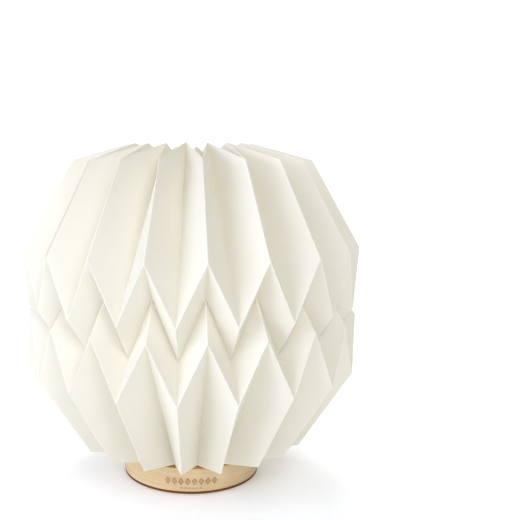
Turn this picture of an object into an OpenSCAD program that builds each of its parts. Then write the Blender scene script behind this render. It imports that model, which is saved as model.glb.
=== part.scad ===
// Paper lantern: a pleated paper shade that stands on a round wooden base and lifts off
// over a small rechargeable lamp. Millimetres, +Z up, the front faces -Y.
// The origin is the middle of the plane that the feet stand on.

/* [Shade] */
// Number of pleats round the shade
pleats = 20; // [16:2:24]
// Turn of the first ridge away from the front, towards +X
first_ridge_turn = 4.8; // [0:0.1:9]
// Ridge where the front half sheet starts, counted from the first ridge
seam_ridge = -3; // [-9:1:9]
// Height of the plane half way up the shade
middle_z = 155.4; // [151:0.1:160]
// Radius of the ridges at the belt
belt_ridge_r = 143.2; // [140:0.1:146]
// Radius of the valleys at the belt
belt_valley_r = 141.6; // [138:0.1:144]
// Radius of the waist fold
waist_r = 121.6; // [118:0.1:125]
// Distance of the belt's ridge corners from the middle plane
belt_ridge_h = 51; // [47:0.5:55]
// Distance of the belt's valley corners from the middle plane
belt_valley_h = 5.2; // [3:0.1:8]
// Distance of the waist fold's corners from the middle plane
waist_h = 23.5; // [20:0.5:27]
// Radius of the ridge ends at the top rim
top_ridge_r = 101.9; // [98:0.1:105]
// Height of the ridge ends at the top rim
top_ridge_z = 276.6; // [272:0.2:280]
// Radius of the valley ends at the top rim
top_valley_r = 52.4; // [50:0.1:56]
// Height of the valley ends at the top rim
top_valley_z = 290.2; // [286:0.1:293]
// Radius of the ridge ends at the bottom rim
bottom_ridge_r = 100.3; // [97:0.1:104]
// Height of the ridge ends at the bottom rim
bottom_ridge_z = 35.2; // [32:0.1:38]
// Radius of the valley ends at the bottom rim, which stand on the base
bottom_valley_r = 60.2; // [58:0.1:60.2]
// Slope of the flaps that are folded in at both rims
flap_slope = 27; // [24:1:30]
// Length of the flaps on the lines that are valleys at the rim
flap_short_l = 26; // [22:0.5:26]
// Length of the flaps on the lines that are ridges at the rim
flap_long_l = 64.6; // [58:0.1:66]
// Thickness of the paper
paper_t = 0.3; // [0.25:0.05:0.5]
// Width of the glue tab behind each seam
tab_w = 10; // [6:1:14]

/* [Base] */
// Diameter of the base
base_d = 121.6; // [121:0.1:123]
// Height of the top plate's upper face
base_h = 25.6; // [25:0.1:26]
// Thickness of the bent wood wall
wall_t = 4; // [3.5:0.5:4]
// Thickness of the top and bottom plates
plate_t = 2; // [1.8:0.1:2]
// Thickness of the feet
foot_t = 1; // [0.8:0.1:1.5]
// Diameter of a foot
foot_d = 14; // [10:1:16]
// Distance of the feet from the middle
foot_ring_r = 47; // [40:1:49]
// Depth of the ornament cut into the wall
ornament_depth = 0.35; // [0.2:0.05:0.6]

/* [Lamp] */
// Outer radius of the ring that keeps the shade in the middle
locator_r = 30.5; // [29:0.1:31]
// Height of that ring
locator_h = 14; // [10:1:14]
// Outer radius of the light diffuser
diffuser_r = 22; // [21:0.5:22]
// Height of the diffuser's top
diffuser_top = 110; // [90:1:115]
// Wall thickness of the diffuser
diffuser_t = 1.8; // [1.2:0.1:2]
// Number of light-emitting chips in the ring
led_count = 12; // [8:1:14]
// Radius of the wires' insulation
wire_r = 0.65; // [0.5:0.05:0.7]

/* [Controls] */
// Radius of the push button
button_r = 4; // [3.5:0.1:4]
// Travel of the push button
button_travel = 1.2; // [0.8:0.1:1.2]
// Half the width of the opening for the rear panel
panel_half_w = 17; // [17:0.5:18]
// Height of the opening for the rear panel
panel_h = 14; // [13:0.1:14.4]

/* [Hidden] */
$fn = 96;
small_fn = 32;

paper_white = [0.93, 0.91, 0.85];
maple = [0.87, 0.76, 0.58];
burnt_ply = [0.72, 0.53, 0.34];
felt_grey = [0.35, 0.34, 0.33];
steel = [0.72, 0.73, 0.75];
aluminium = [0.8, 0.81, 0.83];
opal = [0.96, 0.95, 0.92];
board_green = [0.1, 0.35, 0.2];
board_white = [0.93, 0.94, 0.94];
black_plastic = [0.12, 0.12, 0.13];
chip_yellow = [0.95, 0.85, 0.35];
foil_silver = [0.78, 0.79, 0.8];

// Heights and radii that follow from the driving dimensions
half_pleat = 180 / pleats;
base_r = base_d / 2;
wall_in_r = base_r - wall_t;
wall_z0 = foot_t + plate_t;
wall_z1 = base_h - plate_t;
rest_gap = 0.3;
bottom_valley_z = base_h + rest_gap + paper_t;
flap_short = [flap_short_l * cos(flap_slope), flap_short_l * sin(flap_slope)];
flap_long = [flap_long_l * cos(flap_slope), flap_long_l * sin(flap_slope)];

// Small distances: a cutter's run past a face, a loose fit and a face that must not coincide
past = 1;
clear = 0.1;
eps = 0.01;

// Ornament on the wall: a row of lozenge rings over a row of short lines
lozenge_count = 8;
lozenge_turn = 5.4;
lozenge_size = [4.6, 6.6];
lozenge_line = 0.9;
lozenge_z = 12;
dash_count = 6;
dash_turn = 3;
dash_size = [2.2, 0.7];
dash_z = 6.2;

// Posts between the plates, and the screws that hold the bottom plate to them
post_r = 7;
post_ring_r = wall_in_r - post_r - 0.5;
post_turns = [45, 135, 225, 315];
foot_turns = [0, 90, 180, 270];
screw_r = 1.4;
screw_head_r = 3.1;
screw_head_h = 1.7;
screw_l = 13;
screw_sink = 0.1;

// Collar that holds the diffuser, round the heat sink and the light board
collar_r = 25.2;
collar_seat_z = base_h + 7.6;
collar_top = base_h + 21.4;
sink_r = 20;
sink_h = 8.4;
fin_gap = 1;
fin_depth = 4;
led_board_r = 19;
led_board_t = 1.6;
led_ring_r = 12.5;
led_size = [3.5, 2.8, 0.8];
led_z = base_h + sink_h + led_board_t;
wire_hole_r = 4;

// Raised screw heads are this much narrower on top than underneath, and their slots this much longer
head_taper = 0.8;
slot_reach = 1.2;

// Screws up through the top plate into the locating ring and the heat sink
locator_screw_turns = [30, 150, 270];
sink_screw_turns = [0, 180];
sink_screw_ring_r = 12;
pan_r = 1.2;
pan_head_r = 2.6;
pan_head_h = 1.6;
locator_screw_l = 9;
sink_screw_l = 8;
slot_w = 0.5;

// Charging board, with its socket and switch
board_z = wall_z0 + 6;
board_t = 1.6;
board_top = board_z + board_t;
board_y0 = 24;
board_y1 = 48;
board_half_w = 22;
board_hole_x = 19;
board_hole_ys = [27, 45];
board_screw_r = 1;
board_screw_head_r = 2.1;
board_screw_head_h = 1.3;
board_screw_l = 6.7;
spacer_r = 2.4;
port_z = board_top + 1.6;
// Parts on the board: two chips as [centre, size], a coil, and two rows of small resistors
board_chips = [[[-0.5, 34.5], [5, 5, 1]], [[-12, 38], [4, 4, 1]]];
coil_place = [15, 37];
coil_r = 3.2;
coil_h = 3;
resistor = [1.2, 2, 0.8];
resistor_gap = 1.6;
front_resistors = [8, 30.5];
side_resistors = [-17, 34.5];
usb_x = -8;
usb_w = 8.94;
usb_t = 3.2;
usb_y0 = 47;
usb_y1 = 54.2;
usb_wall = 0.3;
usb_tongue_size = [6.4, 5.2, 0.7];
usb_room = 0.8;
button_x = 8;
button_z = port_z + 1.4;
button_face_y = base_r;
button_flange_r = 5.4;
button_flange_y = 50;
button_flange_t = 1.4;
switch_y = 40;
switch_size = [8, 6, 6.4];
plunger_r = 1.5;
plunger_y = 44;
plunger_room = button_travel + 0.5;
panel_clear = 0.2;
panel_lip = 2;
panel_z = (wall_z0 + wall_z1) / 2 + 0.2;
panel_sink = 0.8;
panel_back_r = wall_in_r - 2.5;

// Battery on foam tape, and the sockets that the wires end in
cell_size = [50, 34, 8];
cell_edge_r = 2;
cell_y = -28;
tape_size = [44, 28, 1];
socket_size = [5.2, 3, 4];
socket_y = 26;

// Hand-chosen routes for the wires at x = 0; each pair of wires lies either side of its route
led_route = [[0, socket_y, board_top + 2], [0, 20, board_top + 2], [0, 8, 11], [0, 1, 15],
    [0, 0, 21], [0, 0, led_z - 2.6], [0, 1, led_z + 1.8], [0, 4.5, led_z + wire_r + 0.05]];
battery_route = [[0, cell_y + 17.1, 9], [0, -8, 9], [0, 4, 7.4], [0, 16, 10.4],
    [0, 21, board_top + 2], [0, socket_y, board_top + 2]];
wire_pair_x = 1;
battery_wire_x = -9;

// Glue tab behind each seam: how far behind the neighbour, and where its columns lie
panel_w = 35;
glue_gap = 0.2;
seam_start = 1.2 / panel_w;
tab_start = 0.7 / panel_w;
tab_drop = 2 + 2 * glue_gap / paper_t;

// A point on a vertical line of the shade
function polar(r, turn, z) = [r * sin(turn), -r * cos(turn), z];
function unit(v) = v / norm(v);
function mix(a, b, f) = a * (1 - f) + b * f;

// The two kinds of vertical fold line as [radius, height], from the top flap's tip to the
// bottom flap's tip. Line 0 is a ridge at the top rim, and line 1 is a valley there.
fold_lines = [
    [
        [top_ridge_r - flap_long.x, top_ridge_z - flap_long.y],
        [top_ridge_r, top_ridge_z],
        [belt_ridge_r, middle_z + belt_ridge_h],
        [waist_r, middle_z + waist_h],
        [belt_valley_r, middle_z - belt_valley_h],
        [bottom_valley_r, bottom_valley_z],
        [bottom_valley_r - flap_short.x, bottom_valley_z + flap_short.y]
    ],
    [
        [top_valley_r - flap_short.x, top_valley_z - flap_short.y],
        [top_valley_r, top_valley_z],
        [belt_valley_r, middle_z + belt_valley_h],
        [waist_r, middle_z - waist_h],
        [belt_ridge_r, middle_z - belt_ridge_h],
        [bottom_ridge_r, bottom_ridge_z],
        [bottom_ridge_r - flap_long.x, bottom_ridge_z + flap_long.y]
    ]
];
rows = len(fold_lines[0]);

// Outward normal of the panel beside a fold line, in the plane of that line: [radial, up]
function panel_normal(kind, row) =
    let (here = fold_lines[kind][row], below = fold_lines[kind][row + 1],
         other = fold_lines[1 - kind][row],
         along = [below[0] - here[0], 0, below[1] - here[1]],
         across = [other[0] * cos(half_pleat) - here[0], other[0] * sin(half_pleat),
                   other[1] - here[1]],
         n = unit(cross(along, across)))
    [n.x, n.z];

// Move of a fold line's corner that shifts both panels at it by one unit of thickness
function corner_move(kind, row) =
    let (below = panel_normal(kind, min(row, rows - 2)),
         above = panel_normal(kind, max(row - 1, 0)),
         step = fold_lines[kind][min(row + 1, rows - 1)] - fold_lines[kind][max(row - 1, 0)],
         square = unit([-step[1], step[0]]),
         turned = above * square < 0 ? -square : square,
         det = above[0] * below[1] - above[1] * below[0])
    row == 0 || row == rows - 1
        ? turned / (above * turned)
        : [(below[1] - above[1]) / det, (above[0] - below[0]) / det];

// A corner of fold line number `line`, moved outwards by `level` half thicknesses
function corner(line, row, level) =
    let (kind = abs(line) % 2,
         moved = fold_lines[kind][row] + corner_move(kind, row) * level * paper_t / 2)
    polar(moved[0], first_ridge_turn + (2 * seam_ridge + line) * half_pleat, moved[1]);

// A point part of the way from one fold line to the next
function sheet_point(line, part, row, level) =
    part == 0 ? corner(line, row, level)
              : mix(corner(line, row, level), corner(line + 1, row, level), part);

// The columns of one half sheet as [line, part of a panel past it, drop in half thicknesses]:
// it starts just past the seam, and ends in a tab that lies behind the next sheet
sheet_columns = concat(
    [[0, seam_start, 0]],
    [for (line = [1:pleats]) [line, 0, 0]],
    [[pleats, tab_start, tab_drop], [pleats, tab_w / panel_w, tab_drop]]
);

// A square of corners as two triangles, cut from its first to its third corner or the other way
function two_triangles(a, b, c, d, first_way = true) =
    first_way ? [[a, b, c], [a, c, d]] : [[b, c, d], [b, d, a]];
function sheet_index(column, row, side) = (column * rows + row) * 2 + side;

// The panels are slightly twisted. This tells whether the diagonal from an even line's corner
// down to the next line is the one that bulges outwards.
function bulges_down(row) =
    let (a = corner(0, row, 0), b = corner(1, row, 0),
         c = corner(1, row + 1, 0), d = corner(0, row + 1, 0))
    cross(c - a, b - d) * (a + c - b - d) > 0;

module half_shade() {
    last = len(sheet_columns) - 1;
    end = rows - 1;
    points = [for (c = sheet_columns, row = [0:end], side = [1, -1])
        sheet_point(c[0], c[1], row, side - c[2])];
    outer_faces = [for (c = [0:last - 1], r = [0:end - 1]) each two_triangles(
        sheet_index(c, r, 0), sheet_index(c + 1, r, 0),
        sheet_index(c + 1, r + 1, 0), sheet_index(c, r + 1, 0),
        (sheet_columns[c][0] % 2 == 0) == bulges_down(r))];
    inner_faces = [for (c = [0:last - 1], r = [0:end - 1]) each two_triangles(
        sheet_index(c + 1, r + 1, 1), sheet_index(c + 1, r, 1),
        sheet_index(c, r, 1), sheet_index(c, r + 1, 1),
        (sheet_columns[c][0] % 2 == 0) == bulges_down(r))];
    top_edge = [for (c = [0:last - 1]) each two_triangles(
        sheet_index(c + 1, 0, 0), sheet_index(c, 0, 0),
        sheet_index(c, 0, 1), sheet_index(c + 1, 0, 1))];
    bottom_edge = [for (c = [0:last - 1]) each two_triangles(
        sheet_index(c, end, 0), sheet_index(c + 1, end, 0),
        sheet_index(c + 1, end, 1), sheet_index(c, end, 1))];
    seam_edge = [for (r = [0:end - 1]) each two_triangles(
        sheet_index(0, r, 0), sheet_index(0, r + 1, 0),
        sheet_index(0, r + 1, 1), sheet_index(0, r, 1))];
    tab_edge = [for (r = [0:end - 1]) each two_triangles(
        sheet_index(last, r + 1, 0), sheet_index(last, r, 0),
        sheet_index(last, r, 1), sheet_index(last, r + 1, 1))];
    polyhedron(points, concat(outer_faces, inner_faces, top_edge, bottom_edge,
                              seam_edge, tab_edge), convexity = 20);
}

module front_half_shade() {
    color(paper_white) half_shade();
}

module rear_half_shade() {
    color(paper_white) rotate(180) half_shade();
}

// Wood

module ring(r_out, r_in, z0, z1, fn = $fn) {
    translate([0, 0, z0]) difference() {
        cylinder(r = r_out, h = z1 - z0, $fn = fn);
        translate([0, 0, -past]) cylinder(r = r_in, h = z1 - z0 + 2 * past, $fn = fn);
    }
}

// A round hole to cut from z0 up to z1, run past both
module hole(r, z0, z1) {
    translate([0, 0, z0 - past]) cylinder(r = r, h = z1 - z0 + 2 * past, $fn = small_fn);
}

// Two crossed slots for a screwdriver, up from z0
module cross_slots(l, z0, h) {
    for (turn = [0, 90]) rotate(turn) translate([-l / 2, -slot_w / 2, z0]) cube([l, slot_w, h]);
}

module at_posts() {
    for (turn = post_turns) rotate(turn) translate([post_ring_r, 0, 0]) children();
}

module lozenge(size) {
    polygon([[0, size.y / 2], [size.x / 2, 0], [0, -size.y / 2], [-size.x / 2, 0]]);
}

// Copies of an outline side by side on the front of the wall, extruded outwards from the cut's floor
module along_wall(count, turn, z) {
    for (i = [0:count - 1]) rotate((i - (count - 1) / 2) * turn)
        translate([0, -base_r + ornament_depth, z]) rotate([90, 0, 0])
            linear_extrude(past) children();
}

module wall_ornament() {
    line = 2 * lozenge_line * [1, lozenge_size.y / lozenge_size.x];
    along_wall(lozenge_count, lozenge_turn, lozenge_z) difference() {
        lozenge(lozenge_size);
        lozenge(lozenge_size - line);
    }
    along_wall(lozenge_count, lozenge_turn, lozenge_z) lozenge(lozenge_size / 4);
    along_wall(dash_count, dash_turn, dash_z) square(dash_size, center = true);
}

module base_wall() {
    color(maple) difference() {
        ring(base_r, wall_in_r, wall_z0, wall_z1);
        wall_ornament();
        translate([-panel_half_w, 0, panel_z - panel_h / 2])
            cube([2 * panel_half_w, base_r + past, panel_h]);
    }
}

module base_top_plate() {
    color(burnt_ply) difference() {
        translate([0, 0, wall_z1]) cylinder(d = base_d, h = plate_t);
        hole(wire_hole_r, wall_z1, base_h);
        at_locator_screws() hole(pan_r + 0.3, wall_z1, base_h);
        at_sink_screws() hole(pan_r + 0.3, wall_z1, base_h);
    }
}

module base_bottom_plate() {
    color(burnt_ply) difference() {
        translate([0, 0, foot_t]) cylinder(d = base_d, h = plate_t);
        at_posts() {
            hole(screw_r + 0.5, foot_t, wall_z0);
            translate([0, 0, foot_t - eps])
                cylinder(r1 = screw_head_r + 0.3, r2 = screw_r + 0.5, h = screw_head_h - 0.2,
                         $fn = small_fn);
        }
    }
}

module base_posts() {
    color(maple) at_posts() difference() {
        translate([0, 0, wall_z0]) cylinder(r = post_r, h = wall_z1 - wall_z0);
        hole(screw_r + clear, wall_z0, foot_t + screw_l);
    }
}

module base_screws() {
    color(steel) at_posts() difference() {
        translate([0, 0, foot_t + screw_sink]) {
            cylinder(r1 = screw_head_r, r2 = screw_r, h = screw_head_h, $fn = small_fn);
            cylinder(r = screw_r, h = screw_l - screw_sink, $fn = small_fn);
        }
        cross_slots(screw_head_r, foot_t, 1);
    }
}

module feet() {
    color(felt_grey) for (turn = foot_turns) rotate(turn)
        translate([foot_ring_r, 0, 0]) cylinder(d = foot_d, h = foot_t, $fn = 48);
}

// Light source on the top plate

module at_locator_screws() {
    for (turn = locator_screw_turns) rotate(turn)
        translate([(locator_r + collar_r) / 2, 0, 0]) children();
}

module at_sink_screws() {
    for (turn = sink_screw_turns) rotate(turn) translate([sink_screw_ring_r, 0, 0]) children();
}

// A screw that points up, with its head under the top plate
module pan_screw(l) {
    translate([0, 0, wall_z1 - pan_head_h]) difference() {
        union() {
            cylinder(r1 = pan_head_r * head_taper, r2 = pan_head_r, h = pan_head_h, $fn = small_fn);
            cylinder(r = pan_r, h = pan_head_h + l, $fn = small_fn);
        }
        cross_slots(pan_head_r * slot_reach, -past, past + pan_head_h / 2);
    }
}

module shade_locator() {
    color(maple) difference() {
        ring(locator_r, collar_r + 0.2, base_h, base_h + locator_h);
        at_locator_screws() hole(pan_r + clear, base_h, wall_z1 + locator_screw_l);
    }
}

module locator_screws() {
    color(steel) at_locator_screws() pan_screw(locator_screw_l);
}

module heat_sink_screws() {
    color(steel) at_sink_screws() pan_screw(sink_screw_l);
}

module diffuser_collar() {
    color(opal) rotate_extrude() polygon([
        [sink_r + 0.2, base_h], [collar_r, base_h], [collar_r, collar_top - 1],
        [collar_r - 1, collar_top], [diffuser_r + 0.15, collar_top],
        [diffuser_r + 0.15, collar_seat_z], [sink_r + 0.2, collar_seat_z]
    ]);
}

module dome_outline(r, z0, z1) {
    intersection() {
        union() {
            translate([-r, z0]) square([2 * r, z1 - r - z0]);
            translate([0, z1 - r]) circle(r);
        }
        translate([0, z0]) square([r, z1 - z0]);
    }
}

module diffuser() {
    color(opal) rotate_extrude() difference() {
        dome_outline(diffuser_r, collar_seat_z + 0.1, diffuser_top);
        dome_outline(diffuser_r - diffuser_t, collar_seat_z, diffuser_top - diffuser_t);
    }
}

module heat_sink() {
    color(aluminium) difference() {
        translate([0, 0, base_h]) cylinder(r = sink_r, h = sink_h);
        for (z = [1.6, 3.6, 5.6]) ring(sink_r + past, sink_r - fin_depth, base_h + z,
                                      base_h + z + fin_gap);
        hole(wire_hole_r, base_h, led_z);
        at_sink_screws() hole(pan_r + clear, base_h, wall_z1 + sink_screw_l - 0.5);
    }
}

module led_board() {
    color(board_white) difference() {
        translate([0, 0, base_h + sink_h]) cylinder(r = led_board_r, h = led_board_t);
        hole(wire_hole_r - 1, base_h + sink_h, led_z);
    }
}

module led_chips() {
    color(chip_yellow) for (i = [0:led_count - 1]) rotate((i + 0.5) * 360 / led_count)
        translate([led_ring_r - led_size.x / 2, -led_size.y / 2, led_z]) cube(led_size);
}

// Wires

function spline(a, b, c, d, f) =
    0.5 * (2 * b + (c - a) * f + (2 * a - 5 * b + 4 * c - d) * f * f
           + (3 * b - a - 3 * c + d) * f * f * f);
function smooth_route(route, steps) = [
    for (i = [0:len(route) - 2], s = [0:steps - 1])
        spline(route[max(i - 1, 0)], route[i], route[i + 1],
               route[min(i + 2, len(route) - 1)], s / steps),
    route[len(route) - 1]
];

// A round wire along a smooth route that never runs parallel to X
module wire(route, r, sides = 8, steps = 4) {
    path = smooth_route(route, steps);
    last = len(path) - 1;
    points = [for (i = [0:last])
        let (dir = unit(path[min(i + 1, last)] - path[max(i - 1, 0)]),
             up = unit(cross([1, 0, 0], dir)),
             side = cross(dir, up))
        for (k = [0:sides - 1]) path[i] + r * (cos(k * 360 / sides) * side + sin(k * 360 / sides) * up)];
    tube = [for (i = [0:last - 1], k = [0:sides - 1]) each two_triangles(
        i * sides + k, (i + 1) * sides + k,
        (i + 1) * sides + (k + 1) % sides, i * sides + (k + 1) % sides)];
    ends = [[for (k = [0:sides - 1]) k], [for (k = [sides - 1:-1:0]) last * sides + k]];
    polyhedron(points, concat(tube, ends));
}

module led_leads() {
    color("white") for (side = [-1, 1]) translate([side * wire_pair_x, 0, 0])
        wire(led_route, wire_r);
}

module battery_leads() {
    color("firebrick") for (side = [-1, 1]) translate([battery_wire_x + side * wire_pair_x, 0, 0])
        wire(battery_route, wire_r);
}

// Power and controls inside the base

module battery_cell() {
    color(foil_silver) translate([0, cell_y, wall_z0 + tape_size.z + cell_size.z / 2])
        rotate([0, 90, 0]) linear_extrude(cell_size.x, center = true) offset(r = cell_edge_r)
            square([cell_size.z - 2 * cell_edge_r, cell_size.y - 2 * cell_edge_r], center = true);
}

module battery_tape() {
    color("white") translate([-tape_size.x / 2, cell_y - tape_size.y / 2, wall_z0]) cube(tape_size);
}

module at_board_holes() {
    for (x = [-board_hole_x, board_hole_x], y = board_hole_ys) translate([x, y, 0]) children();
}

module charge_board() {
    color(board_green) difference() {
        translate([-board_half_w, board_y0, board_z])
            cube([2 * board_half_w, board_y1 - board_y0, board_t]);
        at_board_holes() hole(board_screw_r + 0.2, board_z, board_top);
    }
}

// A box with its centre at a place on the board
module on_board(place, size) {
    translate([place.x - size.x / 2, place.y - size.y / 2, board_top]) cube(size);
}

module board_components() {
    turned_resistor = [resistor.y, resistor.x, resistor.z];
    color(black_plastic) {
        for (chip = board_chips) on_board(chip[0], chip[1]);
        translate([coil_place.x, coil_place.y, board_top])
            cylinder(r = coil_r, h = coil_h, $fn = small_fn);
        for (i = [-1.5:1.5]) on_board(front_resistors + [i * (resistor.x + resistor_gap), 0], resistor);
        for (i = [-1:1]) on_board(side_resistors + [0, i * (resistor.x + resistor_gap)], turned_resistor);
    }
}

// White sockets on the board, where the wires end
module wire_connectors() {
    color("white") for (x = [0, battery_wire_x]) on_board([x, socket_y + socket_size.y / 2], socket_size);
}

module board_spacers() {
    color(black_plastic) at_board_holes()
        ring(spacer_r, board_screw_r + clear, wall_z0, board_z, small_fn);
}

module board_screws() {
    color(steel) at_board_holes() translate([0, 0, board_top]) difference() {
        union() {
            cylinder(r1 = board_screw_head_r, r2 = board_screw_head_r * head_taper,
                     h = board_screw_head_h, $fn = small_fn);
            translate([0, 0, board_screw_head_h - board_screw_l])
                cylinder(r = board_screw_r, h = board_screw_l - slot_w, $fn = small_fn);
        }
        cross_slots(board_screw_head_r * slot_reach, board_screw_head_h / 2, past);
    }
}

// A slot outline with round ends, standing in the XZ plane and run along +Y
module slot_along_y(w, h, y0, y1, x, z) {
    translate([x, y0, z]) rotate([-90, 0, 0]) linear_extrude(y1 - y0) {
        square([w - h, h], center = true);
        for (side = [-1, 1]) translate([side * (w - h) / 2, 0]) circle(d = h, $fn = small_fn);
    }
}

module usb_shell() {
    color(steel) difference() {
        slot_along_y(usb_w, usb_t, usb_y0, usb_y1, usb_x, port_z);
        slot_along_y(usb_w - 2 * usb_wall, usb_t - 2 * usb_wall, usb_y0 + 2 * usb_wall,
                     usb_y1 + past, usb_x, port_z);
    }
}

module usb_tongue() {
    color(black_plastic) translate([usb_x - usb_tongue_size.x / 2, usb_y0 + 2 * usb_wall,
                                    port_z - usb_tongue_size.z / 2]) cube(usb_tongue_size);
}

module switch_body() {
    color(black_plastic) difference() {
        translate([button_x - switch_size.x / 2, switch_y, board_top]) cube(switch_size);
        translate([button_x, plunger_y - plunger_room, button_z]) rotate([-90, 0, 0])
            cylinder(r = plunger_r + clear, h = switch_size.y, $fn = small_fn);
    }
}

module switch_plunger() {
    color(opal) translate([button_x, plunger_y, button_z]) rotate([-90, 0, 0])
        cylinder(r = plunger_r, h = button_flange_y - plunger_y, $fn = small_fn);
}

module button_cap() {
    cap_h = button_face_y - button_flange_y;
    color(aluminium) translate([button_x, button_flange_y, button_z]) rotate([-90, 0, 0])
        rotate_extrude() polygon([
            [0, 0], [button_flange_r, 0], [button_flange_r, button_flange_t],
            [button_r, button_flange_t], [button_r, cap_h - 0.4], [button_r - 0.4, cap_h],
            [button_r / 2, cap_h], [0, cap_h - 0.3]
        ]);
}

// A curved plate that fills the opening in the wall, with a flange glued inside the wall
module rear_panel() {
    color(black_plastic) difference() {
        union() {
            intersection() {
                ring(base_r - panel_sink, panel_back_r, wall_z0, wall_z1);
                translate([-panel_half_w + panel_clear, 0, panel_z - panel_h / 2 + panel_clear])
                    cube([2 * (panel_half_w - panel_clear), base_r, panel_h - 2 * panel_clear]);
            }
            intersection() {
                ring(wall_in_r - clear, panel_back_r, wall_z0, wall_z1);
                translate([-panel_half_w - panel_lip, 0,
                           panel_z - panel_h / 2 - panel_lip + panel_clear])
                    cube([2 * (panel_half_w + panel_lip), base_r,
                          panel_h + 2 * (panel_lip - panel_clear)]);
            }
        }
        slot_along_y(usb_w + 2 * usb_room, usb_t + 2 * usb_room, usb_y0, base_r + past,
                     usb_x, port_z);
        translate([button_x, button_flange_y, button_z]) rotate([-90, 0, 0])
            cylinder(r = button_r + clear, h = base_r, $fn = small_fn);
    }
}

front_half_shade();
rear_half_shade();
base_wall();
base_top_plate();
base_bottom_plate();
base_posts();
base_screws();
feet();
shade_locator();
locator_screws();
diffuser_collar();
diffuser();
heat_sink();
heat_sink_screws();
led_board();
led_chips();
led_leads();
battery_cell();
battery_tape();
battery_leads();
charge_board();
board_components();
wire_connectors();
board_spacers();
board_screws();
usb_shell();
usb_tongue();
switch_body();
switch_plunger();
button_cap();
rear_panel();
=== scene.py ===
"""The paper lantern's looks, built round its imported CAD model. Metres, +Z up, the front faces -Y."""

import math

import bpy
import numpy as np
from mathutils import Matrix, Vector


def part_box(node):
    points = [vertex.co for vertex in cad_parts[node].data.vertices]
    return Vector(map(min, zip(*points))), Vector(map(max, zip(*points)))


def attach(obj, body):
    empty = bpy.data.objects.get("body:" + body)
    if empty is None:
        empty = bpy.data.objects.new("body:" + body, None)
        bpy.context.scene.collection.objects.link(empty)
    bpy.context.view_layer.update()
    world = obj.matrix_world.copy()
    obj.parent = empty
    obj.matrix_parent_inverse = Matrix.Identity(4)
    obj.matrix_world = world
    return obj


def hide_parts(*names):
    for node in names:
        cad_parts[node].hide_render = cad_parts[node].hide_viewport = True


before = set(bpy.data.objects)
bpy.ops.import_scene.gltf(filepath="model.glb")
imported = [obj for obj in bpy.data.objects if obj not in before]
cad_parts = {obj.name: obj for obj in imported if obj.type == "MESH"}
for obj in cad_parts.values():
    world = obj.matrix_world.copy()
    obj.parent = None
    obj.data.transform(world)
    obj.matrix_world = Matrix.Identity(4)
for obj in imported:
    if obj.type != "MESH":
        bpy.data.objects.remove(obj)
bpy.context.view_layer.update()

MM = 0.001
rng = np.random.default_rng(7)


# ---------------------------------------------------------------- places taken from the frame

base_low, base_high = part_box("base_wall")
plate_low, plate_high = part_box("base_top_plate")
BASE_R = (plate_high.x - plate_low.x) / 2
BASE_TOP = plate_high.z
shade_top = max(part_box("front_half_shade")[1].z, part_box("rear_half_shade")[1].z)


# ---------------------------------------------------------------- camera, floor and light

def look_from(position, target):
    """Rotation that points an object's -Z from position to target, with its Y up."""
    return (Vector(target) - Vector(position)).to_track_quat("-Z", "Y").to_euler()


CAMERA_DISTANCE, CAMERA_HEIGHT = 624.8 * MM, 269.9 * MM
CAMERA_TILT = math.radians(11.63)
CAMERA_SENSOR, CAMERA_LENS = 36, 49.8
CAMERA_SHIFT = (0.1323, 0.1085)  # moves the lantern to the lower left of the frame


def make_camera():
    """A near view from just below the shade's top, tilted down a little."""
    data = bpy.data.cameras.new("camera")
    data.sensor_width = CAMERA_SENSOR
    data.lens = CAMERA_LENS
    data.shift_x, data.shift_y = CAMERA_SHIFT
    data.clip_start = 10 * MM
    camera = bpy.data.objects.new("camera", data)
    camera.location = (0, -CAMERA_DISTANCE, CAMERA_HEIGHT)
    camera.rotation_euler = (math.pi / 2 - CAMERA_TILT, 0, 0)
    bpy.context.scene.collection.objects.link(camera)
    bpy.context.scene.camera = camera


def area_light(name, position, target, size, power, colour=(1, 1, 1)):
    """A round softbox at position, facing target."""
    data = bpy.data.lights.new(name, "AREA")
    data.shape = "DISK"
    data.size = size
    data.energy = power
    data.color = colour
    light = bpy.data.objects.new(name, data)
    light.location = position
    light.rotation_euler = look_from(position, target)
    bpy.context.scene.collection.objects.link(light)


KEY_TINT = (0.94, 1.0, 1.22)  # the lights at the left
FILL_TINT = (1.0, 1.0, 1.04)  # the lights in front and at the right
SOFTBOX_DISTANCE, SOFTBOX_SIZE = 2, 0.8


def softbox(name, azimuth, elevation, power, colour):
    """A softbox aimed at the lantern's middle, turned azimuth degrees from the front to the right."""
    a, e = math.radians(azimuth), math.radians(elevation)
    middle = Vector((0, 0, shade_top / 2))
    away = Vector((math.sin(a) * math.cos(e), -math.cos(a) * math.cos(e), math.sin(e)))
    area_light(name, middle + SOFTBOX_DISTANCE * away, middle, SOFTBOX_SIZE, power, colour)


def make_world(strength):
    """An even white surround, which also fills the background past the floor's edges."""
    world = bpy.data.worlds.new("studio")
    world.use_nodes = True
    background = world.node_tree.nodes["Background"]
    background.inputs["Color"].default_value = (1, 1, 1, 1)
    background.inputs["Strength"].default_value = strength
    bpy.context.scene.world = world


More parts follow.
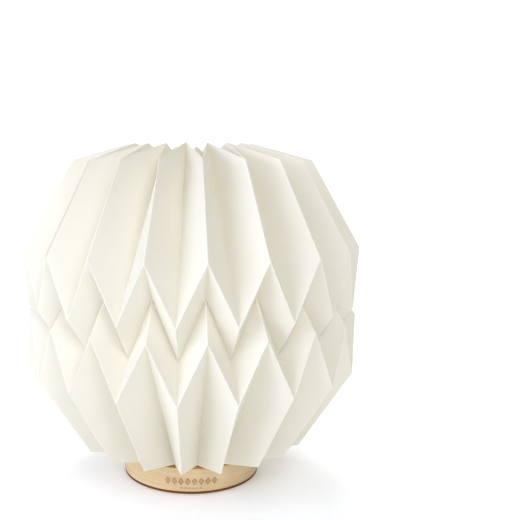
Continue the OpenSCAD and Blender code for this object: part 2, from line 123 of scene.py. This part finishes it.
def make_floor():
    """A pale floor that curves up into a wall far behind the lantern."""
    half, back, wall_height, bend, steps = 6.0, 3.0, 4.0, 1.0, 16
    profile = [(-half, 0)]
    for i in range(steps + 1):
        a = math.pi / 2 * i / steps
        profile.append((back + bend * math.sin(a), bend * (1 - math.cos(a))))
    profile.append((back + bend, wall_height))
    points = [(x, y, z) for y, z in profile for x in (-half, half)]
    faces = [(2 * i, 2 * i + 1, 2 * i + 3, 2 * i + 2) for i in range(len(profile) - 1)]
    mesh = bpy.data.meshes.new("floor")
    mesh.from_pydata(points, [], faces)
    mesh.polygons.foreach_set("use_smooth", [True] * len(faces))
    floor = bpy.data.objects.new("floor", mesh)
    bpy.context.scene.collection.objects.link(floor)
    floor.data.materials.append(floor_material())


# ---------------------------------------------------------------- material helper

class Shader:
    """One material's node tree, with short calls for the nodes used here."""

    def __init__(self, name, **sockets):
        self.material = bpy.data.materials.new(name)
        self.material.use_nodes = True
        self.tree = self.material.node_tree
        self.tree.nodes.clear()
        self.output = self.tree.nodes.new("ShaderNodeOutputMaterial")
        self.bsdf = self.node("BsdfPrincipled", **sockets)
        self.link(self.bsdf.outputs[0], self.output.inputs["Surface"])

    def link(self, source, target):
        self.tree.links.new(source, target)

    def node(self, kind, props=None, **sockets):
        """A node of that kind; a socket gets a number, a colour or another node's output."""
        made = self.tree.nodes.new("ShaderNode" + kind)
        for key, value in (props or {}).items():
            setattr(made, key, value)
        for key, value in sockets.items():
            socket = made.inputs[int(key[1:])] if key[0] == "_" else made.inputs[key.replace("_", " ")]
            if isinstance(value, bpy.types.NodeSocket):
                self.link(value, socket)
            else:
                socket.default_value = value
        return made

    def math(self, operation, a, b=0.0, clamp=False):
        return self.node("Math", {"operation": operation, "use_clamp": clamp}, _0=a, _1=b).outputs[0]

    def coordinates(self):
        return self.node("TexCoord").outputs["Object"]

    def split(self, vector):
        return self.node("SeparateXYZ", Vector=vector).outputs

    def join(self, x, y, z):
        return self.node("CombineXYZ", X=x, Y=y, Z=z).outputs[0]

    def stretch(self, vector, scales):
        """vector times one scale for each axis."""
        return self.node("VectorMath", {"operation": "MULTIPLY"}, _0=vector, _1=scales).outputs[0]

    def axis_distance(self, x, y):
        """How far a place is from the Z axis."""
        return self.math("SQRT", self.math("ADD", self.math("MULTIPLY", x, x), self.math("MULTIPLY", y, y)))

    def noise(self, vector, scale, detail=3.0, roughness=0.5, distortion=0.0):
        return self.node("TexNoise", Vector=vector, Scale=scale, Detail=detail,
                         Roughness=roughness, Distortion=distortion).outputs["Fac"]

    def ramp(self, value, low, high, out_low=0.0, out_high=1.0):
        """value from low to high as out_low to out_high, with a soft start and end."""
        return self.node("MapRange", {"interpolation_type": "SMOOTHSTEP"}, Value=value, _1=low, _2=high,
                         _3=out_low, _4=out_high).outputs[0]

    def mix(self, share, a, b):
        """Colour a at share 0 and colour b at share 1."""
        made = self.node("Mix", {"data_type": "RGBA"}, _0=share)
        for socket, value in ((made.inputs[6], a), (made.inputs[7], b)):
            if isinstance(value, bpy.types.NodeSocket):
                self.link(value, socket)
            else:
                socket.default_value = (*value, 1)
        return made.outputs[2]

    def attribute(self, name):
        return self.node("Attribute", {"attribute_name": name}).outputs["Fac"]

    def bump(self, height, distance, strength=1.0):
        return self.node("Bump", Height=height, Distance=distance, Strength=strength).outputs[0]

    def set(self, **sockets):
        for key, value in sockets.items():
            socket = self.bsdf.inputs[key.replace("_", " ")]
            if isinstance(value, bpy.types.NodeSocket):
                self.link(value, socket)
            else:
                socket.default_value = value
        return self


# ---------------------------------------------------------------- materials

def floor_material():
    """Matt white that glows a little, so that the floor near the lantern stays white."""
    s = Shader("floor_white", Roughness=0.9)
    s.bsdf.inputs["Emission Color"].default_value = (1, 1, 1, 1)
    s.bsdf.inputs["Emission Strength"].default_value = 0.15
    cloud = s.noise(s.coordinates(), 2.0)
    return s.set(Base_Color=s.mix(cloud, (0.91, 0.92, 0.93), (0.93, 0.94, 0.95))).material


PAPER_LIGHT_THROUGH = 0.1  # the share of light that is scattered through the paper


def paper_material():
    """Cream paper with fine fibres, a little light through it, a painted highlight along the mountain folds
    and tan seam strips.
    """
    s = Shader("lantern_paper", Roughness=0.82)
    s.bsdf.inputs["Specular IOR Level"].default_value = 0.25
    place = s.coordinates()
    cloud = s.noise(place, 35.0, 2.0)
    fibre = s.noise(place, 900.0, 5.0, 0.65, 0.4)
    grain = s.noise(place, 3200.0, 2.0)
    colour = s.mix(s.ramp(cloud, 0.3, 0.7), (0.894, 0.866, 0.748), (0.906, 0.878, 0.773))
    colour = s.mix(s.ramp(fibre, 0.35, 0.75, 0.0, 0.25), colour, (0.92, 0.90, 0.82))
    # painted highlight: the crease attribute makes the paper paler along the mountain folds, where the
    # ridges catch the light
    colour = s.mix(s.math("MULTIPLY", s.attribute("crease"), 0.5), colour, (0.94, 0.92, 0.84))
    colour = s.mix(s.attribute("seam"), colour, (0.84, 0.60, 0.30))
    relief = s.math("ADD", fibre, s.math("MULTIPLY", grain, 0.4))
    s.set(Base_Color=colour, Normal=s.bump(relief, 0.00012, 0.35))
    through = s.node("BsdfTranslucent", Color=(0.94, 0.85, 0.66, 1)).outputs[0]
    both = s.node("MixShader", _0=PAPER_LIGHT_THROUGH, _1=s.bsdf.outputs[0], _2=through).outputs[0]
    s.link(both, s.output.inputs["Surface"])
    return s.material


def wood_colours(s, grain_place, pale, dark):
    """Wood's colour and relief: fine streaks along the first coordinate of grain_place, and soft bands."""
    streak = s.noise(s.stretch(grain_place, (40.0, 1300.0, 1300.0)), 1.0, 6.0, 0.6, 0.3)
    band = s.noise(s.stretch(grain_place, (12.0, 190.0, 190.0)), 1.0, 3.0, 0.5, 0.6)
    fleck = s.noise(s.stretch(grain_place, (420.0, 2600.0, 2600.0)), 1.0, 2.0)
    middle = tuple((a + b) / 2 for a, b in zip(pale, dark))
    colour = s.mix(s.ramp(band, 0.3, 0.7), pale, middle)
    colour = s.mix(s.ramp(streak, 0.42, 0.72, 0.0, 0.55), colour, dark)
    colour = s.mix(s.ramp(fleck, 0.62, 0.78, 0.0, 0.35), colour, tuple(0.8 * c for c in dark))
    return colour, s.math("ADD", streak, fleck)


SCORCH = (0.42, 0.19, 0.052)  # wood browned by the laser
GRAIN_SLANT = 0.05            # how fast the wall's grain climbs


def maple_material():
    """Bent maple: the grain runs round the wall, and whatever the laser cut is browned."""
    s = Shader("bent_maple", Roughness=0.5)
    x, y, z = s.split(s.coordinates())
    radius = s.axis_distance(x, y)
    arc = s.math("MULTIPLY", s.math("ARCTAN2", x, s.math("MULTIPLY", y, -1.0)), BASE_R)
    tilted = s.math("ADD", z, s.math("MULTIPLY", arc, GRAIN_SLANT))
    colour, relief = wood_colours(s, s.join(arc, tilted, radius), (0.79, 0.62, 0.37), (0.60, 0.41, 0.20))
    cut_floor = s.ramp(radius, BASE_R - 0.10 * MM, BASE_R - 0.22 * MM)
    outside = s.math("GREATER_THAN", radius, BASE_R - 6 * MM)
    burnt = s.math("MULTIPLY", cut_floor, outside)
    colour = s.mix(burnt, colour, SCORCH)
    edge = s.math("MAXIMUM", s.ramp(z, base_low.z + 0.6 * MM, base_low.z),
                  s.ramp(z, base_high.z - 0.6 * MM, base_high.z))
    colour = s.mix(s.math("MULTIPLY", s.math("MULTIPLY", edge, outside), 0.55), colour, SCORCH)
    s.set(Base_Color=colour, Normal=s.bump(relief, 0.0001, 0.3))
    return s.material


def plywood_material():
    """Laser-cut plywood: pale faces, the top plate's rim golden brown and the bottom plate's charred."""
    s = Shader("laser_cut_plywood")
    s.bsdf.inputs["Specular IOR Level"].default_value = 0.3
    place = s.coordinates()
    x, y, z = s.split(place)
    radius = s.axis_distance(x, y)
    colour, relief = wood_colours(s, place, (0.78, 0.60, 0.37), (0.58, 0.39, 0.19))
    smoke = s.noise(place, 160.0, 4.0)
    reach = s.math("ADD", radius, s.math("MULTIPLY", smoke, 0.8 * MM))
    colour = s.mix(s.ramp(reach, BASE_R - 3.0 * MM, BASE_R + 0.2 * MM, 0.0, 0.6), colour, SCORCH)
    rim = s.ramp(radius, BASE_R - 0.22 * MM, BASE_R - 0.12 * MM)
    lower = s.ramp(z, BASE_TOP / 2 + 1 * MM, BASE_TOP / 2)
    patchy = s.ramp(s.noise(s.join(x, y, s.math("MULTIPLY", z, 6.0)), 420.0, 4.0), 0.3, 0.75)
    gold = s.mix(patchy, (0.36, 0.155, 0.040), (0.52, 0.27, 0.085))
    char = s.mix(patchy, (0.11, 0.030, 0.007), (0.24, 0.078, 0.018))
    colour = s.mix(rim, colour, s.mix(lower, gold, char))
    s.set(Base_Color=colour, Normal=s.bump(relief, 0.0001, 0.35),
          Roughness=s.ramp(rim, 0.0, 1.0, 0.55, 0.85))
    return s.material


def felt_material():
    """Dark grey felt with a fuzzy relief."""
    s = Shader("grey_felt", Roughness=1.0)
    fuzz = s.noise(s.coordinates(), 1500.0, 5.0, 0.7, 1.5)
    s.set(Base_Color=s.mix(fuzz, (0.055, 0.05, 0.048), (0.12, 0.115, 0.11)),
          Normal=s.bump(fuzz, 0.0004, 0.8))
    return s.material


def metal_material(name, colour, roughness, turned=False):
    """Bare metal with fine turning marks or blasting."""
    s = Shader(name, Metallic=1.0)
    place = s.coordinates()
    mark = s.noise(s.stretch(place, (300.0, 300.0, 5000.0 if turned else 300.0)), 3.0, 4.0)
    shade = tuple(0.86 * c for c in colour)
    s.set(Base_Color=s.mix(mark, shade, colour),
          Roughness=s.ramp(mark, 0.2, 0.8, roughness, roughness + 0.15),
          Normal=s.bump(mark, 0.00003, 0.4))
    return s.material


def plastic_material(name, colour, roughness=0.45, texture=2200.0):
    """Moulded plastic with a fine spark-eroded texture."""
    s = Shader(name)
    place = s.coordinates()
    fine = s.noise(place, texture, 3.0)
    broad = s.noise(place, 60.0, 2.0)
    shade = tuple(0.9 * c for c in colour)
    s.set(Base_Color=s.mix(broad, shade, colour),
          Roughness=s.ramp(fine, 0.2, 0.8, roughness - 0.06, roughness + 0.08),
          Normal=s.bump(fine, 0.00003, 0.5))
    return s.material


def board_material(name, mask, trace):
    """A printed board: solder mask over faint tracks."""
    s = Shader(name, Roughness=0.35)
    x, y, z = s.split(s.coordinates())
    cells = s.node("TexVoronoi", {"feature": "DISTANCE_TO_EDGE", "distance": "CHEBYCHEV"},
                   Vector=s.join(x, y, 0.0), Scale=420.0).outputs["Distance"]
    track = s.ramp(cells, 0.10, 0.16, 1.0, 0.0)
    s.set(Base_Color=s.mix(track, mask, trace), Normal=s.bump(track, 0.00004, 0.6))
    return s.material


def cell_material():
    """The battery cell's wrinkled foil pouch."""
    s = Shader("cell_foil", Metallic=0.9, Roughness=0.34)
    wrinkle = s.noise(s.coordinates(), 120.0, 5.0, 0.6, 1.0)
    s.set(Base_Color=s.mix(wrinkle, (0.55, 0.56, 0.58), (0.72, 0.73, 0.75)),
          Normal=s.bump(wrinkle, 0.0004, 0.5))
    return s.material


def foam_material():
    """Pale closed-cell foam."""
    s = Shader("foam_tape", Roughness=0.95)
    pores = s.node("TexVoronoi", Vector=s.coordinates(), Scale=2500.0).outputs["Distance"]
    s.set(Base_Color=s.mix(pores, (0.62, 0.62, 0.61), (0.8, 0.8, 0.79)), Normal=s.bump(pores, 0.0002, 0.7))
    return s.material


def dress_cad_nodes():
    """Each CAD node that stays gets its material."""
    maple, plywood = maple_material(), plywood_material()
    steel = metal_material("zinc_steel", (0.60, 0.60, 0.61), 0.32)
    nickel = metal_material("nickel", (0.72, 0.72, 0.72), 0.18)
    lathed = metal_material("turned_aluminium", (0.78, 0.79, 0.80), 0.30, turned=True)
    blasted = metal_material("blasted_aluminium", (0.62, 0.63, 0.64), 0.42)
    white = plastic_material("white_plastic", (0.82, 0.82, 0.80))
    black = plastic_material("black_plastic", (0.022, 0.022, 0.024))
    opal = plastic_material("opal_plastic", (0.88, 0.87, 0.84), 0.38, 900.0)
    green = board_material("green_board", (0.012, 0.085, 0.035), (0.03, 0.15, 0.06))
    pale_board = board_material("white_board", (0.80, 0.81, 0.81), (0.72, 0.73, 0.74))
    phosphor = plastic_material("led_phosphor", (0.85, 0.62, 0.10), 0.3)
    white_wire = plastic_material("white_silicone", (0.78, 0.78, 0.76), 0.55)
    red_wire = plastic_material("red_silicone", (0.42, 0.02, 0.015), 0.5)
    dresses = {
        maple: ["base_wall", "base_posts", "shade_locator"],
        plywood: ["base_top_plate", "base_bottom_plate"],
        steel: ["base_screws", "locator_screws", "heat_sink_screws", "board_screws"],
        nickel: ["usb_shell"],
        lathed: ["heat_sink"],
        blasted: ["button_cap"],
        white: ["diffuser_collar", "wire_connectors", "switch_plunger"],
        black: ["board_components", "board_spacers", "usb_tongue", "switch_body", "rear_panel"],
        opal: ["diffuser"],
        green: ["charge_board"],
        pale_board: ["led_board"],
        phosphor: ["led_chips"],
        white_wire: ["led_leads"],
        red_wire: ["battery_leads"],
        cell_material(): ["battery_cell"],
        foam_material(): ["battery_tape"],
        felt_material(): ["feet"],
    }
    for material, names in dresses.items():
        for name in names:
            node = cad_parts[name]
            node.data.materials.clear()
            node.data.materials.append(material)


# ---------------------------------------------------------------- the folded paper shade

PLEATS = 20
HALF_PLEAT = math.pi / PLEATS
FIRST_RIDGE_TURN = math.radians(4.8)  # from the front to the ridge nearest to it
SEAM_RIDGE = -3                       # the ridge with the first half sheet's seam, counted from that one
PANEL_W = 35 * MM
PAPER_T = 0.3 * MM
SEAM_START = 0.6 * MM          # where the outer sheet's cut edge is, past the fold
SEAM_END = 1.5 * SEAM_START    # the outer sheet's next column is past this
TAB_START = 0.5 * MM
TAB_END = 10 * MM
TAB_DROP = 0.5 * MM
MIDDLE_Z = 155.4 * MM
FLAP_SLOPE = math.radians(27)
FLAP_SHORT, FLAP_LONG = 26 * MM, 64.6 * MM
BELT_RIDGE = (143.2 * MM, 51.0 * MM)
BELT_VALLEY = (141.6 * MM, 5.2 * MM)
WAIST = (121.6 * MM, 23.5 * MM)
TOP_RIDGE, TOP_VALLEY = (101.9 * MM, 276.6 * MM), (52.4 * MM, 290.2 * MM)
BOTTOM_RIDGE, BOTTOM_VALLEY = (100.3 * MM, 35.2 * MM), (60.2 * MM, BASE_TOP + 0.6 * MM)


def flap_end(rim, length, up):
    """Where a flap that starts at rim, a (radius, height), ends inside the mouth."""
    return rim[0] - length * math.cos(FLAP_SLOPE), rim[1] + up * length * math.sin(FLAP_SLOPE)


# Both kinds of vertical fold line, from the top flap's tip to the bottom flap's tip.
# Line 0 is a ridge at the top rim, and line 1 is a valley there.
FOLD_LINES = np.array([
    [flap_end(TOP_RIDGE, FLAP_LONG, -1), TOP_RIDGE, (BELT_RIDGE[0], MIDDLE_Z + BELT_RIDGE[1]),
     (WAIST[0], MIDDLE_Z + WAIST[1]), (BELT_VALLEY[0], MIDDLE_Z - BELT_VALLEY[1]), BOTTOM_VALLEY,
     flap_end(BOTTOM_VALLEY, FLAP_SHORT, 1)],
    [flap_end(TOP_VALLEY, FLAP_SHORT, -1), TOP_VALLEY, (BELT_VALLEY[0], MIDDLE_Z + BELT_VALLEY[1]),
     (WAIST[0], MIDDLE_Z - WAIST[1]), (BELT_RIDGE[0], MIDDLE_Z - BELT_RIDGE[1]), BOTTOM_RIDGE,
     flap_end(BOTTOM_RIDGE, FLAP_LONG, 1)],
])
BANDS = FOLD_LINES.shape[1] - 1
MOUNTAIN_BANDS = ((1, 3), (2, 4))  # the bands in which each kind of line is a mountain fold
WIDEST_ROWS = (2, 4)
BOTTOM_ROW = 5
MOUNTAIN_ROWS = (1, 2, 4, 5)       # the zigzag lines that are mountain folds


CORNER_WANDER = np.array([0.35, 0.45, 0.25]) * MM  # outwards, along the belt and upwards
WANDER_MOST = 1.6                                  # times the usual wander


def fold_corners():
    """Every fold corner as corners[line][row], a little off its ideal place, as folding by hand leaves it.
    The shade gets no wider by this, and its lowest corners don't sink into the base."""
    corners = np.zeros((2 * PLEATS, BANDS + 1, 3))
    wander = rng.normal(0, 1, (2 * PLEATS, BANDS + 1, 3)).clip(-WANDER_MOST, WANDER_MOST) * CORNER_WANDER
    for line in range(2 * PLEATS):
        turn = FIRST_RIDGE_TURN + (2 * SEAM_RIDGE + line) * HALF_PLEAT
        outward = np.array([math.sin(turn), -math.cos(turn), 0])
        along = np.array([math.cos(turn), math.sin(turn), 0])
        for row, (radius, height) in enumerate(FOLD_LINES[line % 2]):
            out, aside, up = wander[line, row]
            if row in WIDEST_ROWS:
                out = -abs(out)
            if row == BOTTOM_ROW:
                up = abs(up)
            corners[line, row] = outward * (radius + out) + along * aside
            corners[line, row, 2] = height + up
    return corners


RIDGE_HIGHLIGHT_FADE = 0.3 * MM  # how fast the painted highlight along a mountain fold fades
CREASE_STEPS = np.array([0.0, 0.45, 1.1, 2.6]) * MM  # distances from a crease that get a row of points
ACROSS_PITCH, DOWN_PITCH = 3.2 * MM, 4.5 * MM        # distances between the other points


def crease_spaced(length, pitch):
    """Places from 0 to 1 along a stretch of that length: close together at both ends, even between."""
    near = CREASE_STEPS / length
    middle = np.linspace(near[-1], 1 - near[-1], max(3, round(length / pitch)))[1:-1]
    return np.concatenate([near, middle, 1 - near[::-1]])


def sheet_grid(corners, first_line):
    """One half sheet as a grid of points, with its columns and rows. A column is (panel, share across it,
    how far it lies behind the sheet), and a row is (band, share down it). The grid starts just past the
    first line, and ends in the tab behind the next sheet's first panel."""
    panel_stops = crease_spaced(PANEL_W, ACROSS_PITCH)
    columns = []
    for panel in range(PLEATS):
        stops = panel_stops[:-1]
        if panel == 0:
            stops = np.concatenate([[SEAM_START / PANEL_W], stops[stops > SEAM_END / PANEL_W]])
        columns += [(panel, f, 0.0) for f in stops]
    columns.append((PLEATS - 1, 1.0, 0.0))
    columns += [(PLEATS, f, TAB_DROP) for f in np.linspace(TAB_START, TAB_END, 5) / PANEL_W]
    band_lengths = np.linalg.norm(corners[0, 1:] - corners[0, :-1], axis=-1)
    rows = []
    for band in range(BANDS):
        stops = crease_spaced(max(band_lengths[band], PANEL_W), DOWN_PITCH)
        rows += [(band, t) for t in (stops if band == BANDS - 1 else stops[:-1])]
    count = len(corners)
    grid = np.zeros((len(columns), len(rows), 3))
    for i, (panel, f, _) in enumerate(columns):
        left = corners[(first_line + panel) % count]
        right = corners[(first_line + panel + 1) % count]
        edge = left * (1 - f) + right * f
        for j, (band, t) in enumerate(rows):
            grid[i, j] = edge[band] * (1 - t) + edge[band + 1] * t
    return grid, columns, rows


BOW, BOW_MOST = 0.3 * MM, 0.55 * MM
BOW_SEED = 11


def bow_panels(grid, columns, rows, first_line):
    """Panels aren't quite flat: each bows a little between its creases."""
    bows = np.random.default_rng(BOW_SEED).normal(0, BOW, (2 * PLEATS, BANDS)).clip(-BOW_MOST, BOW_MOST)
    normals = grid_normals(grid)
    for i, (panel, f, _) in enumerate(columns):
        for j, (band, t) in enumerate(rows):
            bow = bows[(first_line + panel) % (2 * PLEATS), band]
            grid[i, j] += normals[i, j] * bow * 4 * f * (1 - f) * math.sin(math.pi * t) ** 0.6
    return grid


def grid_normals(grid):
    """The unit normal at every point of a grid, outwards."""
    down = np.gradient(grid, axis=1)
    across = np.gradient(grid, axis=0)
    normal = np.cross(down, across)
    return normal / np.linalg.norm(normal, axis=-1, keepdims=True)


CREASE_EASE = 0.5  # how far a crease's points move, as a share of the way to their neighbours' middle


def round_creases(grid, columns, rows):
    """Moves each crease's own points towards their neighbours, so that the paper turns in a small curve."""
    softened = grid.copy()
    for i, (_, f, _) in enumerate(columns[1:-1], 1):
        if f == 0.0:
            softened[i] += CREASE_EASE * ((grid[i - 1] + grid[i + 1]) / 2 - grid[i])
    smooth = softened.copy()
    for j, (_, t) in enumerate(rows[1:-1], 1):
        if t == 0.0:
            smooth[:, j] += CREASE_EASE * ((softened[:, j - 1] + softened[:, j + 1]) / 2 - softened[:, j])
    return smooth


def closed_sheet(name, grid, normals, masks):
    """A mesh with two faces of paper PAPER_T apart, and a cut edge all round."""
    across, down = grid.shape[:2]
    outer = (grid + normals * PAPER_T / 2).reshape(-1, 3)
    inner = (grid - normals * PAPER_T / 2).reshape(-1, 3)
    index = np.arange(across * down).reshape(across, down)
    a, b, c, d = index[:-1, :-1], index[:-1, 1:], index[1:, 1:], index[1:, :-1]
    front = np.stack([a, b, c, d], -1).reshape(-1, 4)
    back = front[:, ::-1] + across * down
    rim = np.concatenate([index[:, 0], index[-1, 1:], index[-2::-1, -1], index[0, -2:0:-1]])
    following = np.roll(rim, -1)
    edge = np.stack([rim, following, following + across * down, rim + across * down], -1)
    mesh = bpy.data.meshes.new(name)
    points, faces = np.concatenate([outer, inner]), np.concatenate([front, back, edge])
    mesh.from_pydata(points.tolist(), [], faces.tolist())
    mesh.polygons.foreach_set("use_smooth", [True] * (2 * len(front)) + [False] * len(edge))
    for key, values in masks.items():
        attribute = mesh.attributes.new(key, "FLOAT", "POINT")
        attribute.data.foreach_set("value", np.tile(values.ravel(), 2).astype(np.float32))
    mesh.update()
    piece = bpy.data.objects.new(name, mesh)
    bpy.context.scene.collection.objects.link(piece)
    return piece


def ridge_highlight_mask(columns, rows):
    """The painted highlight on the ridges: 1 on every mountain fold, fading to 0 within a millimetre."""
    mask = np.zeros((len(columns), len(rows)))
    for i, (panel, f, _) in enumerate(columns):
        line = panel if f < 0.5 else panel + 1
        for j, (band, t) in enumerate(rows):
            row = band if t < 0.5 else band + 1
            distances = [math.inf]
            if band in MOUNTAIN_BANDS[line % 2]:
                distances.append(min(f, 1 - f) * PANEL_W)
            if row in MOUNTAIN_ROWS:
                distances.append(min(t, 1 - t) * 2 * PANEL_W)
            mask[i, j] = math.exp(-min(distances) / RIDGE_HIGHLIGHT_FADE)
    return mask


def seam_mask(columns, rows):
    """1 on the strip between the last fold and the next sheet's cut edge, except on the flaps."""
    strip = np.array([panel == PLEATS and f * PANEL_W < SEAM_END for panel, f, _ in columns])
    shown = np.array([0 < band < BANDS - 1 for band, _ in rows])
    return np.outer(strip, shown).astype(float)


def make_shade():
    """The two half sheets, each in place of its CAD solid."""
    paper = paper_material()
    corners = fold_corners()
    for first_line, node, name in ((0, "front_half_shade", "front_half_sheet"),
                                   (PLEATS, "rear_half_shade", "rear_half_sheet")):
        grid, columns, rows = sheet_grid(corners, first_line)
        grid = bow_panels(grid, columns, rows, first_line)
        grid = round_creases(grid, columns, rows)
        normals = grid_normals(grid)
        drop = np.array([down for _, _, down in columns])
        grid = grid - normals * drop[:, None, None]
        # the crease attribute carries the painted highlight along the mountain folds
        masks = {"crease": ridge_highlight_mask(columns, rows), "seam": seam_mask(columns, rows)}
        sheet = closed_sheet(name, grid, normals, masks)
        sheet.data.materials.append(paper)
        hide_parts(node)
        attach(sheet, "shade")


# ---------------------------------------------------------------- everything together

make_camera()
make_floor()
make_world(0.3)
softbox("key_low", -45, 8, 7.5, KEY_TINT)
softbox("key_high", -45, 38, 5.0, KEY_TINT)
softbox("side_left", -70, 20, 7.0, KEY_TINT)
softbox("front_high", 0, 38, 3.4, FILL_TINT)
softbox("fill_low", 20, 20, 4.0, FILL_TINT)
softbox("fill_high", 20, 45, 7.2, FILL_TINT)
softbox("rear_right", 145, 30, 3.8, FILL_TINT)
area_light("backdrop_light", (0, 1.9, 2.6), (0, 3.7, 0.5), 1.5, 65)
area_light("floor_light", (0, 1.4, 2.6), (0, 1.4, 0), 1.5, 20)
bpy.context.scene.view_settings.view_transform = "Standard"
# The white folds light each other, and the usual four bounces lose that light.
bpy.context.scene.cycles.diffuse_bounces = 8
dress_cad_nodes()
make_shade()
